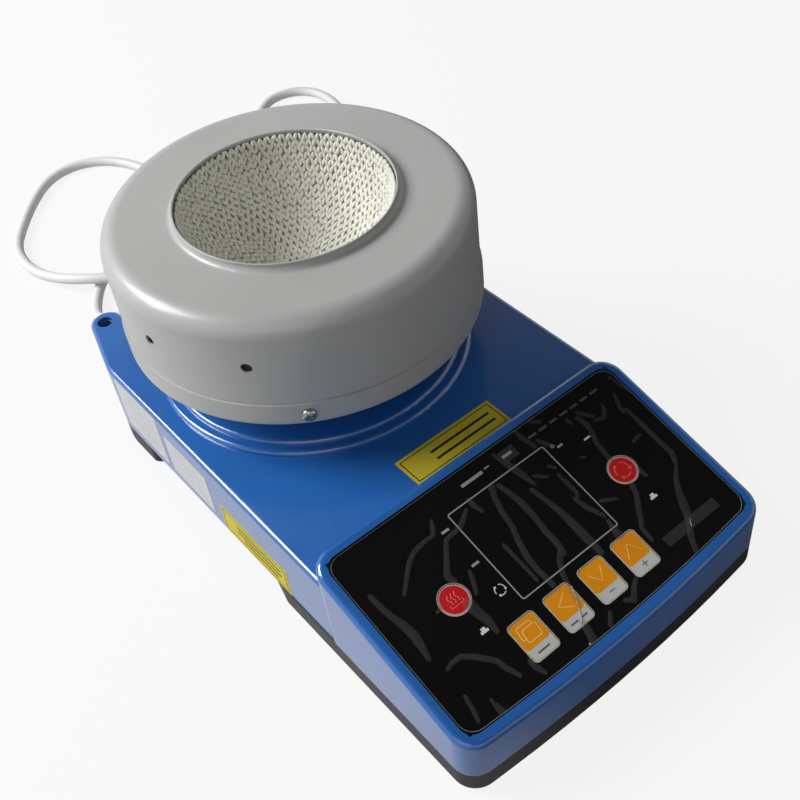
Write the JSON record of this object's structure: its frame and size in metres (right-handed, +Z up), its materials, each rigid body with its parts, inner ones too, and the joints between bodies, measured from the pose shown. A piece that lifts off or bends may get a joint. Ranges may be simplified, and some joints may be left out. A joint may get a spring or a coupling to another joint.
{
  "type": "magnetic stirrer with heating mantle",
  "caption": "Laboratory magnetic stirrer with a sloping key panel, a stepped rear deck and a round heating mantle with a woven bowl on top.",
  "frame": {"origin": "on the table, under the middle of the appliance without its mains cord", "axes": "+X to the appliance's right, +Y from the key panel to the rear, +Z up"},
  "size_m": [0.3023, 0.5812, 0.1569],
  "materials": {
    "blue_paint": "smooth gloss enamel",
    "black_plastic": "fine satin moulding",
    "foot_rubber": "matte",
    "screw_steel": "plated",
    "panel_black": "printed membrane",
    "clear_film": "thin clear film with wrinkles",
    "orange_key": "printed membrane key",
    "red_key": "printed membrane key",
    "display_black": "dark window",
    "circuit_board": "solder mask",
    "grey_paint": "light grey enamel",
    "glass_cloth": "knitted glass fibre",
    "element_sleeve": "braided glass sleeve",
    "ceramic_fibre": "loose fibre",
    "terminal_ceramic": "unglazed",
    "motor_steel": "zinc plated",
    "plain_aluminium": "machined",
    "magnet_metal": "nickel plated",
    "core_iron": "varnished laminations",
    "grey_rubber": "moulded",
    "cord_cover": "light grey flexible cover",
    "plug_brass": "plain"
  },
  "bodies": {
    "base": {"housing_shell": "blue_paint", "base_tray": "black_plastic", "rubber_feet": "foot_rubber", "base_screws": "screw_steel", "board_screws": "screw_steel", "bracket_screws": "screw_steel", "mantle_screws": "screw_steel", "neck_bolts": "screw_steel", "panel_overlay": "panel_black", "protective_film": "clear_film", "display_module": "display_black", "control_board": "circuit_board", "key_switches": "black_plastic", "mantle_shell": "grey_paint", "mantle_base": "grey_paint", "bowl_liner": "glass_cloth", "heating_element": "element_sleeve", "insulation": "ceramic_fibre", "temperature_sensor": "screw_steel", "heater_terminal": "terminal_ceramic", "stir_motor": "motor_steel", "motor_bracket": "motor_steel", "supply_transformer": "core_iron", "power_board": "circuit_board", "triac_heatsink": "plain_aluminium", "fuse_holder": "black_plastic", "cord_gland": "grey_rubber", "mains_cord": "cord_cover", "cord_coil": "cord_cover", "cord_tail": "cord_cover", "mains_plug": "cord_cover", "plug_blades": "plug_brass"},
    "rotor": {"motor_shaft": "screw_steel", "magnet_carrier": "plain_aluminium", "drive_magnets": "magnet_metal"},
    "set_button": {"set_key": "orange_key"},
    "shift_button": {"shift_key": "orange_key"},
    "down_button": {"down_key": "orange_key"},
    "up_button": {"up_key": "orange_key"},
    "heat_button": {"heat_key": "red_key"},
    "stir_button": {"stir_key": "red_key"}
  },
  "joints": [
    {"name": "set_press", "type": "slide", "parent": "base", "child": "set_button", "axis": [0, 0.2696, -0.963], "range_m": [0, 0.0005], "stiffness_N_per_m": 4000},
    {"name": "shift_press", "type": "slide", "parent": "base", "child": "shift_button", "axis": [0, 0.2696, -0.963], "range_m": [0, 0.0005], "stiffness_N_per_m": 4000},
    {"name": "down_press", "type": "slide", "parent": "base", "child": "down_button", "axis": [0, 0.2696, -0.963], "range_m": [0, 0.0005], "stiffness_N_per_m": 4000},
    {"name": "up_press", "type": "slide", "parent": "base", "child": "up_button", "axis": [0, 0.2696, -0.963], "range_m": [0, 0.0005], "stiffness_N_per_m": 4000},
    {"name": "heat_press", "type": "slide", "parent": "base", "child": "heat_button", "axis": [0, 0.2696, -0.963], "range_m": [0, 0.0005], "stiffness_N_per_m": 4000},
    {"name": "stir_press", "type": "slide", "parent": "base", "child": "stir_button", "axis": [0, 0.2696, -0.963], "range_m": [0, 0.0005], "stiffness_N_per_m": 4000},
    {"name": "stir_spin", "type": "hinge", "parent": "base", "child": "rotor", "pos_m": [0, 0.0632, 0.06], "axis": [0, 0, 1], "continuous": true}
  ]
}
